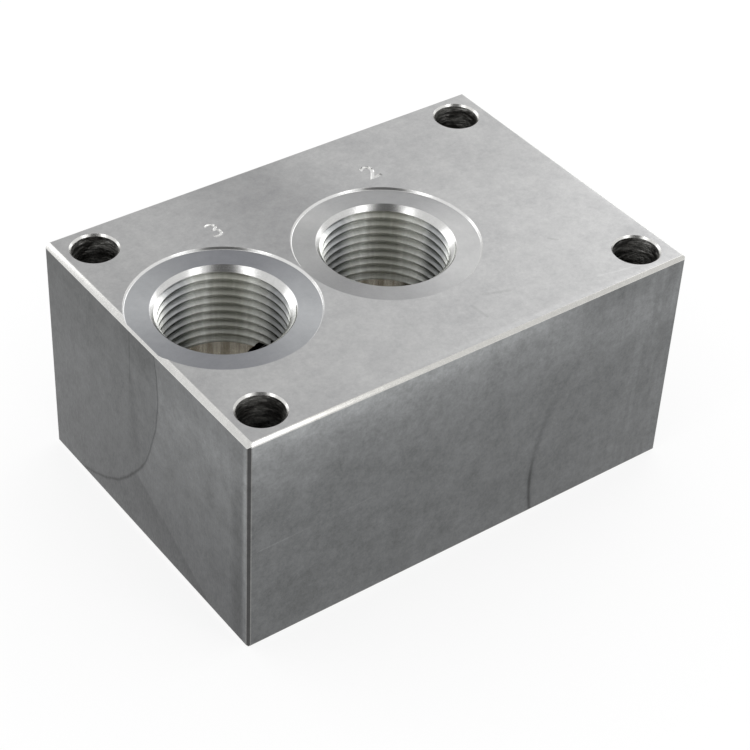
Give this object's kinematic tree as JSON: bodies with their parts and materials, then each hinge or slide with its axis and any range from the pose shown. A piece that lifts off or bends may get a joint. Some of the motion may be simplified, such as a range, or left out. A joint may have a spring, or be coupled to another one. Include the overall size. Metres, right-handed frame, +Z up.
{
  "type": "manifold block",
  "caption": "Drilled aluminium manifold block with threaded ports in its top and back, joined inside, and corner mounting holes.",
  "frame": {"origin": "middle of the underside", "axes": "+X along the long side, away from the end where the top ports sit; -Y out of the plain front face; +Y out of the back face with the inlet port; +Z up, out of the face with the two top ports"},
  "size_m": [0.125, 0.087, 0.0615],
  "materials": {
    "machined_aluminium": "satin, fine milled and brushed"
  },
  "bodies": {
    "root": {"manifold_block": "machined_aluminium"}
  },
  "joints": []
}
